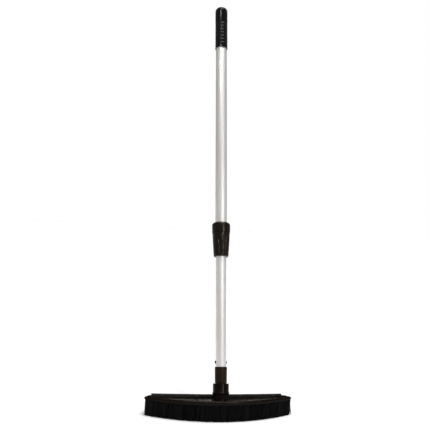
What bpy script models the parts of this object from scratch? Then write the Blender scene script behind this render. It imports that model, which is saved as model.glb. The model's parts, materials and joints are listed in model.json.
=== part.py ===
"""Push broom: a crescent brush head with a rear squeegee, on a telescopic twist-lock pole.

Metres, +Z up. The bristle tips stand on z = 0. The pole's axis passes through the origin and leans back
towards +Y, and the pole's pieces are placed by their distance along that axis from the floor.
The head's front faces -Y.
"""
from math import atan2, cos, pi, radians, sin, sqrt, tan

import bmesh
import bpy
from mathutils import Matrix, Vector

MM = 0.001
GAP = 0.3 * MM  # clearance between pieces that touch
EDGE = 0.4 * MM  # usual broken edge of a moulding
PAST = 1.0 * MM  # how far a cutter runs past the face that it opens

# Stance
POLE_TILT = radians(18)  # lean of the pole from the vertical, towards +Y
HEAD_TILT = radians(6)  # slope of the deck, down towards +Y
DECK_HEIGHT = 38.9 * MM  # height of the rim's crest plane above the origin

# Head, in its own tilted frame: x across, v backwards, w up from the rim's crest plane
HEAD_HALF_WIDTH = 154.5 * MM  # at the front corners, before their fillets
REAR_HALF_WIDTH = 141.0 * MM
EDGE_SHARE = 0.95  # share of its half width at which an edge hands over to its corner fillets
FRONT_V = -16.0 * MM  # front of the rim, on the centre line
FRONT_RADIUS = 306.5 * MM  # plan radius of the front edge
REAR_V = 37.0 * MM  # rear edge, on the centre line
REAR_SAG = 7.0 * MM  # how far the rear edge's ends lie behind its middle
CORNER_RADIUS = 6.0 * MM
FRONT_STEPS = 36
REAR_STEPS = 18
CORNER_STEPS = 4
CREST_STEPS = 8

RIM_HEIGHT = 3.7 * MM
RIM_WIDTH = 5.2 * MM
RIM_ROUND = 2.2 * MM  # height of the crest's rounding
RIM_LIP = 0.9 * MM  # how far the rim overhangs the block
DECK_DEPTH = 1.6 * MM  # the deck's floor below the rim's crest
BLOCK_DEPTH = 10.5 * MM  # the block's underside below the rim's crest
CHAMFER_TOP = 4.7 * MM
CHAMFER_INNER = 4.4 * MM
CHAMFER_OUTER = 1.3 * MM
UNDERSIDE_EDGE = 0.6 * MM

# Squeegee, in a rebate along the rear edge
SQUEEGEE_HALF_WIDTH = 136.0 * MM
REBATE_WIDTH = 8.3 * MM
REBATE_DEPTH = 3.5 * MM
BLADE_THICKNESS = 1.4 * MM
BLADE_REACH = 7.0 * MM  # past the rear edge
BLADE_RISE = 2.8 * MM
BLADE_TIP = 1.0 * MM
BLADE_BEND = 0.5 * MM  # in front of the rear edge
CLAMP_THICKNESS = 1.3 * MM
CLAMP_WIDTH = 7.3 * MM
SCREW_X = [x * MM for x in (-115.0, -45.0, 45.0, 115.0)]
SCREW_RADIUS = 1.3 * MM
SCREW_HEAD_RADIUS = 2.4 * MM
SCREW_HEAD_HEIGHT = 0.8 * MM
SCREW_HEAD_FLAT = 0.7  # share of the head's radius that its flat top takes
SCREW_DEPTH = 9.0 * MM
SCREW_STEPS = 12

# Bristles
ROWS = 5
ROW_HALF_WIDTH = 148.0 * MM  # of the front row
ROW_STEP = 2.2 * MM  # how much shorter each row behind it is, at each end
ROW_SPLAY = 0.007  # how far the tips spread sideways, as a share of x
ROW_FILL = 0.88  # share of the row pitch that a row of tufts fills
ROW_STATIONS = 16
ROOT_INSET_FRONT = 1.5 * MM
ROOT_INSET_REAR = 3.0 * MM
ROOT_GAP = 0.8 * MM
FLARE_FRONT = 3.3 * MM
FLARE_REAR = 1.5 * MM
FLARE_FADE = 0.6  # share of the front flare that fades out towards the ends

# Pole, by distance along its axis from the floor
SOCKET_BOTTOM = 20.0 * MM
SOCKET_RING = 48.6 * MM
RING_FLARE = 2.6 * MM  # height of the cone under the ring
RING_HEIGHT = 2.4 * MM
SOCKET_TOP = 68.2 * MM
SOCKET_RADIUS = 16.2 * MM
SOCKET_RING_RADIUS = 17.0 * MM
SOCKET_EDGE = 0.8 * MM
BOSS_RADIUS = 15.2 * MM
SOCKET_BORE = 10.3 * MM
BORE_BOTTOM = 34.0 * MM
THREAD_RADIUS = 10.0 * MM
THREAD_EDGE = 1.0 * MM
BELOW_BLOCK = 40.0 * MM  # how deep the guide under the block reaches

FERRULE_TOP = 100.2 * MM
FERRULE_RADIUS = 12.1 * MM
FERRULE_TOP_RADIUS = 12.5 * MM
FERRULE_BEVEL = 1.4 * MM
FERRULE_LIP = 0.9 * MM
SPIGOT_TOP = 126.0 * MM
RIVET_AT = 109.7 * MM
RIVET_RADIUS = 2.0 * MM
RIVET_HEAD_RADIUS = 3.2 * MM
RIVET_HEAD_HEIGHT = 1.8 * MM
RIVET_EDGE = 0.25  # share of the head's height that its rim and its crown each take
RIVET_CROWN = 0.6  # share of the head's radius where the crown starts

TUBE_EDGE = 0.25 * MM
LOWER_TUBE_RADIUS = 11.0 * MM
LOWER_TUBE_WALL = 0.9 * MM
LOWER_TUBE_BOTTOM = 78.0 * MM
LOWER_TUBE_TOP = 700.0 * MM
UPPER_TUBE_RADIUS = 12.5 * MM
UPPER_TUBE_WALL = 1.0 * MM
UPPER_TUBE_BOTTOM = 352.0 * MM
UPPER_TUBE_TOP = 920.0 * MM
GUIDE_RADIUS = 11.35 * MM
GUIDE_WALL = 2.0 * MM
GUIDE_HEIGHT = 4.0 * MM
GUIDE_SPIGOT = 18.0 * MM

NUT_BOTTOM = 327.3 * MM
NUT_TOP = 380.0 * MM
NUT_BOTTOM_RADIUS = 15.65 * MM
NUT_TOP_RADIUS = 18.9 * MM
NUT_BEVEL = 1.6 * MM
FLUTES = 16
FLUTE_SIDES = 6
FLUTE_DEPTH = 0.9 * MM
FLUTE_SHARPNESS = 0.7
FLUTE_START = 3.0 * MM
FLUTE_RUN_IN = 3.0 * MM
FLUTE_RUN_OUT = 3.5 * MM
BAND_TOP = 401.4 * MM
BAND_RADIUS = 19.45 * MM
BAND_SHOULDER = 4.2 * MM  # height of the rounded shoulder
BAND_SHOULDER_IN = 3.8 * MM
NECK_RADIUS = 14.9 * MM
NECK_BOTTOM = 350.0 * MM
CLAMP_RING_BOTTOM = 335.0 * MM
CLAMP_RING_SMALL = 13.2 * MM
CLAMP_RING_SLIT = 2.5 * MM
CLAMP_RING_LAND = 2.0 * MM  # straight stretch at the cone's wide end

GRIP_BOTTOM = 822.8 * MM
GRIP_TOP = 931.5 * MM
GRIP_RADIUS = 14.3 * MM
GRIP_GROOVE_RADIUS = 13.7 * MM
GRIP_DOME = 9.5 * MM
DOME_STEPS = 5
GRIP_BORE_TOP = 925.0 * MM
RIB_FIRST = 832.8 * MM
RIB_PITCH = 8.6 * MM
RIB_GROOVE = 1.6 * MM  # half width of a groove
RIBS = 7

TURNED_STEPS = 40

BLACK_PLASTIC = ("black_plastic", (0.012, 0.010, 0.010), 0.32, 0.0)
OLIVE_PLASTIC = ("olive_black_plastic", (0.030, 0.027, 0.022), 0.42, 0.0)
BROWN_PLASTIC = ("brown_black_plastic", (0.036, 0.026, 0.019), 0.5, 0.0)
BRISTLE = ("bristle", (0.008, 0.008, 0.009), 0.6, 0.0)
RUBBER = ("rubber", (0.014, 0.013, 0.013), 0.65, 0.0)
GRIP_PLASTIC = ("grip_plastic", (0.009, 0.009, 0.009), 0.4, 0.0)
ALUMINIUM = ("aluminium", (0.80, 0.79, 0.77), 0.28, 1.0)
STEEL = ("steel", (0.25, 0.25, 0.25), 0.35, 1.0)
NATURAL_PLASTIC = ("natural_plastic", (0.62, 0.60, 0.55), 0.5, 0.0)


def clear_scene():
    for old in list(bpy.data.objects):
        bpy.data.objects.remove(old, do_unlink=True)


def material(spec):
    name, colour, roughness, metallic = spec
    found = bpy.data.materials.get(name)
    if found:
        return found
    made = bpy.data.materials.new(name)
    made.use_nodes = True
    shader = made.node_tree.nodes["Principled BSDF"]
    shader.inputs["Base Color"].default_value = (*colour, 1.0)
    shader.inputs["Roughness"].default_value = roughness
    shader.inputs["Metallic"].default_value = metallic
    return made


def empty(name, parent=None, location=(0, 0, 0), lean=0.0):
    """A joint axis or a frame: local +Z leans back from the vertical by lean."""
    made = bpy.data.objects.new(name, None)
    bpy.context.scene.collection.objects.link(made)
    made.parent = parent
    made.location = location
    made.rotation_euler = (-lean, 0, 0)
    return made


def add_object(name, bm, finish, parent=None):
    """Turn a bmesh into a smooth-shaded object."""
    bmesh.ops.recalc_face_normals(bm, faces=bm.faces)
    mesh = bpy.data.meshes.new(name)
    bm.to_mesh(mesh)
    bm.free()
    mesh.shade_smooth()
    mesh.set_sharp_from_angle(angle=radians(32))
    made = bpy.data.objects.new(name, mesh)
    bpy.context.scene.collection.objects.link(made)
    made.parent = parent
    if finish:
        mesh.materials.append(material(finish))
    return made


def turned(name, profile, finish, parent, steps=TURNED_STEPS):
    """Spin a profile of (radius, height) points about Z. One that starts off the axis is a closed loop."""
    bm = bmesh.new()
    points = [bm.verts.new((r, 0, z)) for r, z in profile]
    edges = [bm.edges.new(pair) for pair in zip(points, points[1:])]
    if profile[0][0] > 0:
        edges.append(bm.edges.new((points[-1], points[0])))
    bmesh.ops.spin(bm, geom=points + edges, cent=(0, 0, 0), axis=(0, 0, 1), angle=2 * pi, steps=steps)
    bmesh.ops.remove_doubles(bm, verts=bm.verts, dist=1e-7)
    return add_object(name, bm, finish, parent)


def lofted(name, sections, finish, parent):
    """Join closed sections of equal length, each a list of points, and cap the two ends."""
    bm = bmesh.new()
    rings = [[bm.verts.new(p) for p in section] for section in sections]
    count = len(rings[0])
    for near, far in zip(rings, rings[1:]):
        for i in range(count):
            j = (i + 1) % count
            bm.faces.new((near[i], near[j], far[j], far[i]))
    bm.faces.new(rings[0])
    bm.faces.new(rings[-1])
    return add_object(name, bm, finish, parent)


def cutter(made):
    """Mark an object as a guide for a Boolean."""
    made.hide_render = True
    made.display_type = "WIRE"
    return made


def boolean(target, other, operation="DIFFERENCE"):
    step = target.modifiers.new(other.name, "BOOLEAN")
    step.operation = operation
    step.solver = "EXACT"
    step.object = other


def drill(target, name, parent, radius, bottom, top, at=(0, 0), steps=16):
    """Cut a round hole along the parent's Z axis, at a place in its XY plane."""
    tool = cutter(turned(name, [(0, bottom), (radius, bottom), (radius, top), (0, top)], None, parent, steps))
    tool.location = (at[0], at[1], 0)
    boolean(target, tool)
    return tool


# --- Head ---------------------------------------------------------------------------------------------


def front_edge(x):
    return FRONT_V + FRONT_RADIUS - sqrt(FRONT_RADIUS**2 - x * x)


def rear_edge(x):
    return REAR_V + REAR_SAG * (x / SQUEEGEE_HALF_WIDTH) ** 2


def fillet(before, corner, after):
    """Round one corner of an outline."""
    corner = Vector(corner)
    into = (corner - Vector(before)).normalized()
    out = (Vector(after) - corner).normalized()
    turn = into.angle(out)
    length = CORNER_RADIUS * tan(turn / 2)
    start = corner - into * length
    centre = start + Vector((-into.y, into.x)) * CORNER_RADIUS
    first = atan2(start.y - centre.y, start.x - centre.x)
    angles = [first + turn * i / CORNER_STEPS for i in range(CORNER_STEPS + 1)]
    return [(centre.x + CORNER_RADIUS * cos(a), centre.y + CORNER_RADIUS * sin(a)) for a in angles]


def head_outline():
    """The block's plan, counter-clockwise from the front's left end."""
    front = [HEAD_HALF_WIDTH * EDGE_SHARE * (2 * i / FRONT_STEPS - 1) for i in range(FRONT_STEPS + 1)]
    rear = [REAR_HALF_WIDTH * EDGE_SHARE * (1 - 2 * i / REAR_STEPS) for i in range(REAR_STEPS + 1)]
    front = [(x, front_edge(x)) for x in front]
    rear = [(x, rear_edge(x)) for x in rear]
    front_right = (HEAD_HALF_WIDTH, front_edge(HEAD_HALF_WIDTH))
    rear_right = (REAR_HALF_WIDTH, rear_edge(REAR_HALF_WIDTH))
    front_left = (-front_right[0], front_right[1])
    rear_left = (-rear_right[0], rear_right[1])
    return [
        *front,
        *fillet(front[-1], front_right, rear_right),
        *fillet(front_right, rear_right, rear[0]),
        *rear,
        *fillet(rear[-1], rear_left, front_left),
        *fillet(rear_left, front_left, front[0]),
    ]


def inset(outline, distance):
    """Move each point of a counter-clockwise outline inwards."""
    moved = []
    count = len(outline)
    for i, here in enumerate(outline):
        before, after = outline[i - 1], outline[(i + 1) % count]
        into = Vector((here[0] - before[0], here[1] - before[1])).normalized()
        out = Vector((after[0] - here[0], after[1] - here[1])).normalized()
        along = (into + out).normalized()
        inwards = Vector((-along.y, along.x)) * (distance / along.dot(into))
        moved.append((here[0] + inwards.x, here[1] + inwards.y))
    return moved


def head_block(frame, pole):
    """The moulded block: a rounded rim round a sunk deck, chamfered below, with the threaded socket."""
    outline = head_outline()
    steps = [
        (RIM_WIDTH, -BLOCK_DEPTH),
        (CHAMFER_INNER, -BLOCK_DEPTH + UNDERSIDE_EDGE),
        (CHAMFER_OUTER, -CHAMFER_TOP),
        (RIM_LIP, -RIM_HEIGHT - UNDERSIDE_EDGE),
        (0, -RIM_HEIGHT),
    ]
    for step in range(CREST_STEPS):
        angle = pi * step / CREST_STEPS
        steps.append((RIM_WIDTH / 2 * (1 - cos(angle)), RIM_ROUND * (sin(angle) - 1)))
    steps.append((RIM_WIDTH, -DECK_DEPTH))
    sections = [[(x, v, w) for x, v in inset(outline, distance)] for distance, w in steps]
    block = lofted("head_block", sections, BLACK_PLASTIC, frame)

    shape = [
        (0, SOCKET_BOTTOM),
        (BOSS_RADIUS, SOCKET_BOTTOM),
        (BOSS_RADIUS, SOCKET_RING - RING_FLARE),
        (SOCKET_RING_RADIUS, SOCKET_RING),
        (SOCKET_RING_RADIUS, SOCKET_RING + RING_HEIGHT),
        (SOCKET_RADIUS, SOCKET_RING + RING_HEIGHT + SOCKET_EDGE),
        (SOCKET_RADIUS, SOCKET_TOP - SOCKET_EDGE),
        (SOCKET_RADIUS - SOCKET_EDGE, SOCKET_TOP),
        (0, SOCKET_TOP),
    ]
    socket = cutter(turned("socket_shape", shape, None, pole))
    base = inset(outline, RIM_WIDTH)
    below = [[(x, v, w) for x, v in base] for w in (-BELOW_BLOCK, -BLOCK_DEPTH + EDGE / 2)]
    boolean(socket, cutter(lofted("below_block", below, None, frame)))
    boolean(block, socket, "UNION")
    boolean(block, cutter(rear_strip("rebate", frame, None, rebate_section(), SQUEEGEE_HALF_WIDTH + PAST)))
    bore = [
        (0, BORE_BOTTOM),
        (SOCKET_BORE, BORE_BOTTOM),
        (SOCKET_BORE, SOCKET_TOP - PAST),
        (SOCKET_BORE + 2 * PAST, SOCKET_TOP + PAST),
        (0, SOCKET_TOP + PAST),
    ]
    boolean(block, cutter(turned("socket_bore", bore, None, pole)))
    for number, x in enumerate(SCREW_X, 1):
        hole = SCREW_RADIUS + GAP
        bottom = -SCREW_DEPTH - GAP
        drill(block, f"block_hole_{number}", frame, hole, bottom, 0, screw_place(x), SCREW_STEPS)
    return block


def rear_strip(name, frame, finish, section, half_width, stations=20):
    """Sweep a section along the rear edge. Its points are (distance in front of the edge, height)."""
    xs = [half_width * (2 * i / stations - 1) for i in range(stations + 1)]
    return lofted(name, [[(x, rear_edge(x) - d, w) for d, w in section] for x in xs], finish, frame)


def rebate_section():
    return [
        (REBATE_WIDTH, -REBATE_DEPTH),
        (REBATE_WIDTH, 2 * PAST),
        (-3 * PAST, 2 * PAST),
        (-3 * PAST, -REBATE_DEPTH),
    ]


def screw_place(x):
    return (x, rear_edge(x) - REBATE_WIDTH / 2)


def squeegee(frame):
    """The rubber blade, its clamp strip and the screws that hold them in the rebate."""
    low = -REBATE_DEPTH + GAP
    top = low + BLADE_THICKNESS
    blade_section = [
        (REBATE_WIDTH - 2 * GAP, low),
        (REBATE_WIDTH - 2 * GAP, top),
        (BLADE_BEND, top),
        (-BLADE_REACH, top + BLADE_RISE),
        (-BLADE_REACH - EDGE, top + BLADE_RISE - BLADE_TIP),
        (0, low),
    ]
    blade = rear_strip("squeegee_blade", frame, RUBBER, blade_section, SQUEEGEE_HALF_WIDTH)

    seat = top + GAP
    crest = seat + CLAMP_THICKNESS
    front = REBATE_WIDTH - EDGE
    back = front - CLAMP_WIDTH
    clamp_section = [
        (front, seat),
        (front, crest - EDGE),
        (front - EDGE, crest),
        (back + EDGE, crest),
        (back, crest - EDGE),
        (back, seat),
    ]
    clamp = rear_strip("squeegee_clamp", frame, BLACK_PLASTIC, clamp_section, SQUEEGEE_HALF_WIDTH)

    head = crest + GAP
    profile = [
        (0, -SCREW_DEPTH),
        (SCREW_RADIUS, -SCREW_DEPTH + SCREW_RADIUS),
        (SCREW_RADIUS, head),
        (SCREW_HEAD_RADIUS, head),
        (SCREW_HEAD_RADIUS, head + SCREW_HEAD_HEIGHT / 2),
        (SCREW_HEAD_FLAT * SCREW_HEAD_RADIUS, head + SCREW_HEAD_HEIGHT),
        (0, head + SCREW_HEAD_HEIGHT),
    ]
    for number, x in enumerate(SCREW_X, 1):
        place = screw_place(x)
        hole = SCREW_RADIUS + GAP
        drill(blade, f"blade_hole_{number}", frame, hole, low - PAST, top + PAST, place, SCREW_STEPS)
        drill(clamp, f"clamp_hole_{number}", frame, hole, seat - PAST, crest + PAST, place, SCREW_STEPS)
        screw = turned(f"clamp_screw_{number}", profile, STEEL, frame, SCREW_STEPS)
        screw.location = (place[0], place[1], 0)


def underside(distance):
    """Height of the block's underside, by distance from its edge."""
    slope = (BLOCK_DEPTH - UNDERSIDE_EDGE - CHAMFER_TOP) / (CHAMFER_INNER - CHAMFER_OUTER)
    if distance < CHAMFER_INNER:
        return -CHAMFER_TOP - slope * max(0, distance - CHAMFER_OUTER)
    return -BLOCK_DEPTH


def with_kink(across, kink):
    """Move the nearest inner point of a row of points onto a kink that lies between its ends."""
    if across[0] < kink < across[-1]:
        nearest = min((1, 2), key=lambda i: abs(across[i] - kink))
        across[nearest] = kink
    return across


def bristle_row(index, to_world):
    """One curved row of tufts as a solid, from the block's underside to the floor."""
    half_width = ROW_HALF_WIDTH - index * ROW_STEP
    margin = (1 - ROW_FILL) / 2
    shares = [(index + margin + ROW_FILL * i / 3) / ROWS for i in range(4)]
    if index == 0:
        shares[0] = 0
    sections = []
    for station in range(ROW_STATIONS + 1):
        x = half_width * sin(pi / 2 * (2 * station / ROW_STATIONS - 1))
        front, rear = front_edge(x), rear_edge(x)
        depth = rear - front - ROOT_INSET_FRONT - ROOT_INSET_REAR
        across = [front + ROOT_INSET_FRONT + share * depth for share in shares]
        across = with_kink(across, front + CHAMFER_INNER)
        across = with_kink(across, rear - CHAMFER_INNER)
        roots, tips = [], []
        for share, v in zip(shares, across):
            w = underside(min(v - front, rear - v)) - ROOT_GAP
            root = to_world @ Vector((x, v, w))
            fade = 1 - FLARE_FADE * abs(x) / half_width
            flare = share * FLARE_REAR - (1 - share) * FLARE_FRONT * fade
            roots.append(root)
            tips.append(Vector((x * (1 + ROW_SPLAY), root.y + flare, 0)))
        sections.append([*roots, tips[-1], tips[0]])
    return lofted(f"bristle_row_{index + 1}", sections, BRISTLE, None)


# --- Pole ---------------------------------------------------------------------------------------------


def tube(name, radius, wall, bottom, top, parent):
    profile = [
        (radius - wall, bottom),
        (radius - TUBE_EDGE, bottom),
        (radius, bottom + TUBE_EDGE),
        (radius, top - TUBE_EDGE),
        (radius - TUBE_EDGE, top),
        (radius - wall, top),
    ]
    return turned(name, profile, ALUMINIUM, parent)


def pole_ferrule(pole):
    """The threaded end: a stub for the socket, a cup round the tube's end and a spigot inside it."""
    cup = LOWER_TUBE_RADIUS + GAP
    spigot = LOWER_TUBE_RADIUS - LOWER_TUBE_WALL - GAP
    bottom = BORE_BOTTOM + THREAD_EDGE
    seat = SOCKET_TOP + GAP
    profile = [
        (0, bottom),
        (THREAD_RADIUS - THREAD_EDGE, bottom),
        (THREAD_RADIUS, bottom + THREAD_EDGE),
        (THREAD_RADIUS, seat),
        (FERRULE_RADIUS, seat),
        (FERRULE_TOP_RADIUS, FERRULE_TOP - FERRULE_BEVEL),
        (FERRULE_TOP_RADIUS - FERRULE_LIP, FERRULE_TOP),
        (cup, FERRULE_TOP),
        (cup, LOWER_TUBE_BOTTOM - GAP),
        (spigot, LOWER_TUBE_BOTTOM - GAP),
        (spigot, SPIGOT_TOP - THREAD_EDGE),
        (spigot - THREAD_EDGE, SPIGOT_TOP),
        (0, SPIGOT_TOP),
    ]
    return turned("pole_ferrule", profile, BROWN_PLASTIC, pole)


def ferrule_rivet(cross, tube_piece, ferrule):
    """One rivet across the tube, with a domed head on each side. Its own axis is the cross frame's Z."""
    seat = LOWER_TUBE_RADIUS + GAP
    crown = seat + RIVET_HEAD_HEIGHT
    rim = RIVET_EDGE * RIVET_HEAD_HEIGHT
    half = [
        (RIVET_RADIUS, seat),
        (RIVET_HEAD_RADIUS, seat),
        (RIVET_HEAD_RADIUS, seat + rim),
        (RIVET_CROWN * RIVET_HEAD_RADIUS, crown - rim),
        (0, crown),
    ]
    profile = [*((r, -z) for r, z in reversed(half)), *half]
    turned("ferrule_rivet", profile, STEEL, cross, 16)
    reach = LOWER_TUBE_RADIUS + 2 * PAST
    for piece in (tube_piece, ferrule):
        drill(piece, f"{piece.name}_rivet_hole", cross, RIVET_RADIUS + GAP, -reach, reach)


def guide_plug(pole):
    """The plastic bush on the lower tube's top end, which runs inside the upper tube."""
    spigot = LOWER_TUBE_RADIUS - LOWER_TUBE_WALL - GAP
    seat = LOWER_TUBE_TOP + GAP
    bottom = LOWER_TUBE_TOP - GUIDE_SPIGOT
    top = seat + GUIDE_HEIGHT
    profile = [
        (spigot - GUIDE_WALL, bottom),
        (spigot, bottom + GUIDE_WALL / 2),
        (spigot, seat),
        (GUIDE_RADIUS, seat),
        (GUIDE_RADIUS, top - 2 * EDGE),
        (GUIDE_RADIUS - 2 * EDGE, top),
        (spigot - GUIDE_WALL, top),
    ]
    turned("guide_plug", profile, NATURAL_PLASTIC, pole)


def collet_body(slide):
    """The lock's fixed half: a band on the upper tube's end and a threaded neck below it."""
    seat = UPPER_TUBE_BOTTOM - GAP
    bore = UPPER_TUBE_RADIUS + GAP
    profile = [
        (LOWER_TUBE_RADIUS + GAP, NECK_BOTTOM),
        (NECK_RADIUS - EDGE, NECK_BOTTOM),
        (NECK_RADIUS, NECK_BOTTOM + EDGE),
        (NECK_RADIUS, NUT_TOP + GAP),
        (BAND_RADIUS - EDGE, NUT_TOP + GAP),
        (BAND_RADIUS, NUT_TOP + GAP + EDGE),
        (BAND_RADIUS, BAND_TOP - BAND_SHOULDER),
        (BAND_RADIUS - 0.3 * BAND_SHOULDER_IN, BAND_TOP - 0.4 * BAND_SHOULDER),
        (BAND_RADIUS - BAND_SHOULDER_IN, BAND_TOP),
        (bore, BAND_TOP),
        (bore, seat),
        (LOWER_TUBE_RADIUS + GAP, seat),
    ]
    turned("collet_body", profile, OLIVE_PLASTIC, slide, 48)


def clamp_ring(ring_axis):
    """The split cone that the nut squeezes onto the lower tube."""
    top = NECK_BOTTOM - GAP
    profile = [
        (LOWER_TUBE_RADIUS + GAP, CLAMP_RING_BOTTOM),
        (CLAMP_RING_SMALL, CLAMP_RING_BOTTOM),
        (NECK_RADIUS - GAP, top - CLAMP_RING_LAND),
        (NECK_RADIUS - GAP, top),
        (LOWER_TUBE_RADIUS + GAP, top),
    ]
    ring = turned("clamp_ring", profile, NATURAL_PLASTIC, ring_axis)
    bm = bmesh.new()
    bmesh.ops.create_cube(bm, size=1.0)
    length = 2 * (top - CLAMP_RING_BOTTOM + PAST)
    size = Matrix.Diagonal((CLAMP_RING_SLIT, NECK_RADIUS, length, 1))
    place = Matrix.Translation((0, NECK_RADIUS, CLAMP_RING_BOTTOM))
    bmesh.ops.transform(bm, matrix=place @ size, verts=bm.verts)
    boolean(ring, cutter(add_object("clamp_ring_slit", bm, None, ring_axis)))


def lock_nut(turn):
    """The tapered nut: fluted outside, with a threaded bore and an inner cone that closes the clamp ring."""
    steps = FLUTES * FLUTE_SIDES
    bore = NECK_RADIUS + GAP
    cone_low = CLAMP_RING_BOTTOM - PAST
    taper = (NUT_TOP_RADIUS - NUT_BOTTOM_RADIUS) / (NUT_TOP - NUT_BOTTOM)

    def outer(z, fluted):
        return NUT_BOTTOM_RADIUS + taper * (z - NUT_BOTTOM), z, fluted

    lip = LOWER_TUBE_RADIUS + 1.5 * GAP
    profile = [
        (lip, NUT_BOTTOM + EDGE, 0),
        (lip + 2 * EDGE, NUT_BOTTOM, 0),
        (NUT_BOTTOM_RADIUS - NUT_BEVEL, NUT_BOTTOM, 0),
        (NUT_BOTTOM_RADIUS - EDGE / 2, NUT_BOTTOM + NUT_BEVEL, 0),
        outer(NUT_BOTTOM + FLUTE_START, 0),
        outer(NUT_BOTTOM + FLUTE_START + FLUTE_RUN_IN, 1),
        outer(NUT_TOP - 2 * FLUTE_RUN_OUT, 1),
        outer(NUT_TOP - FLUTE_RUN_OUT, 0),
        outer(NUT_TOP - EDGE, 0),
        (NUT_TOP_RADIUS - EDGE, NUT_TOP, 0),
        (bore, NUT_TOP, 0),
        (bore, NECK_BOTTOM - CLAMP_RING_LAND, 0),
        (CLAMP_RING_SMALL + GAP, cone_low, 0),
        (lip, cone_low, 0),
    ]
    sections = []
    for step in range(steps):
        angle = 2 * pi * step / steps
        groove = FLUTE_DEPTH * max(0.0, cos(FLUTES * angle)) ** FLUTE_SHARPNESS
        sections.append([
            ((r - groove * fluted) * cos(angle), (r - groove * fluted) * sin(angle), z)
            for r, z, fluted in profile
        ])
    bm = bmesh.new()
    rings = [[bm.verts.new(p) for p in section] for section in sections]
    for near, far in zip(rings, rings[1:] + rings[:1]):
        for i in range(len(profile)):
            j = (i + 1) % len(profile)
            bm.faces.new((near[i], near[j], far[j], far[i]))
    add_object("lock_nut", bm, OLIVE_PLASTIC, turn)


def hand_grip(slide):
    """The moulded grip over the upper tube's end: ribbed below, plain and domed at the top."""
    bore = UPPER_TUBE_RADIUS + GAP
    profile = [
        (bore, GRIP_BOTTOM),
        (GRIP_RADIUS - 2 * EDGE, GRIP_BOTTOM),
        (GRIP_RADIUS, GRIP_BOTTOM + 2 * EDGE),
    ]
    for rib in range(RIBS + 1):
        groove = RIB_FIRST + rib * RIB_PITCH - RIB_PITCH / 2
        profile += [
            (GRIP_RADIUS, groove - RIB_GROOVE),
            (GRIP_GROOVE_RADIUS, groove),
            (GRIP_RADIUS, groove + RIB_GROOVE),
        ]
    flat = GRIP_RADIUS - GRIP_DOME
    for step in range(DOME_STEPS + 1):
        angle = pi / 2 * step / DOME_STEPS
        profile.append((flat + GRIP_DOME * cos(angle), GRIP_TOP - GRIP_DOME + GRIP_DOME * sin(angle)))
    profile += [(0, GRIP_TOP), (0, GRIP_BORE_TOP), (bore, GRIP_BORE_TOP)]
    bm = bmesh.new()
    points = [bm.verts.new((r, 0, z)) for r, z in profile]
    edges = [bm.edges.new(pair) for pair in zip(points[:-2], points[1:-2])]
    edges = [e for e in edges if e.calc_length() > 0]
    edges += [bm.edges.new((points[-2], points[-1])), bm.edges.new((points[-1], points[0]))]
    bmesh.ops.spin(bm, geom=points + edges, cent=(0, 0, 0), axis=(0, 0, 1), angle=2 * pi, steps=TURNED_STEPS)
    bmesh.ops.remove_doubles(bm, verts=bm.verts, dist=1e-7)
    add_object("hand_grip", bm, GRIP_PLASTIC, slide)


def main():
    clear_scene()
    frame = empty("head_frame", location=(0, 0, DECK_HEIGHT), lean=HEAD_TILT)
    pole = empty("pole_axis", lean=POLE_TILT)
    slide = empty("telescope_slide_axis", pole)
    ring_axis = empty("clamp_ring_slide_axis", slide)
    turn = empty("nut_turn_axis", ring_axis)
    cross = empty("rivet_axis", pole, (0, 0, RIVET_AT))
    cross.rotation_euler = (0, pi / 2, 0)

    head_block(frame, pole)
    squeegee(frame)
    to_world = Matrix.Translation((0, 0, DECK_HEIGHT)) @ Matrix.Rotation(-HEAD_TILT, 4, "X")
    for index in range(ROWS):
        bristle_row(index, to_world)

    ferrule = pole_ferrule(pole)
    lower = tube(
        "lower_tube", LOWER_TUBE_RADIUS, LOWER_TUBE_WALL, LOWER_TUBE_BOTTOM, LOWER_TUBE_TOP, pole
    )
    ferrule_rivet(cross, lower, ferrule)
    guide_plug(pole)

    tube("upper_tube", UPPER_TUBE_RADIUS, UPPER_TUBE_WALL, UPPER_TUBE_BOTTOM, UPPER_TUBE_TOP, slide)
    collet_body(slide)
    hand_grip(slide)
    clamp_ring(ring_axis)
    lock_nut(turn)


main()
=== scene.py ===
"""Push broom: crescent head of dense trimmed filaments, squeegee lip, telescopic twist-lock pole."""

import json
from math import atan2, cos, pi, radians, sin, sqrt, tan

import bmesh
import bpy
import numpy as np
from mathutils import Matrix, Vector


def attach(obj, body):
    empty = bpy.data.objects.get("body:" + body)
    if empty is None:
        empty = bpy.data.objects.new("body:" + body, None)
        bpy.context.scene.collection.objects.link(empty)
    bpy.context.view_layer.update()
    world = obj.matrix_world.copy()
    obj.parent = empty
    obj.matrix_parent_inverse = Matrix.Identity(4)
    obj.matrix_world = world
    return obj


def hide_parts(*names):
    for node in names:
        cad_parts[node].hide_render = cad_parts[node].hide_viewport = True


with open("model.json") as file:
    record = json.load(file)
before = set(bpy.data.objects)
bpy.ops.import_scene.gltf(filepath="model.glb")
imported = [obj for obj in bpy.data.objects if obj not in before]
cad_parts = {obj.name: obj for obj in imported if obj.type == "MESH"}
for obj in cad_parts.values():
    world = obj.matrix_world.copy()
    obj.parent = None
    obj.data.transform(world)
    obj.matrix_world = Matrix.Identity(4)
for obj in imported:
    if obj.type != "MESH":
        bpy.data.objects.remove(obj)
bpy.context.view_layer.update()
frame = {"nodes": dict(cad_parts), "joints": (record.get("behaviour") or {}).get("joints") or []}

MM = 0.001
JOINTS = {joint["name"]: joint for joint in frame["joints"]}
AXIS = Vector(JOINTS["telescope_slide"]["axis"])
LEAN = atan2(AXIS.y, AXIS.z)
POLE = Matrix.Rotation(-LEAN, 4, "X")  # from the pole's own frame, with +Z along it, to the row frame

LOWER = "head_and_lower_pole"
UPPER = "upper_pole"

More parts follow.
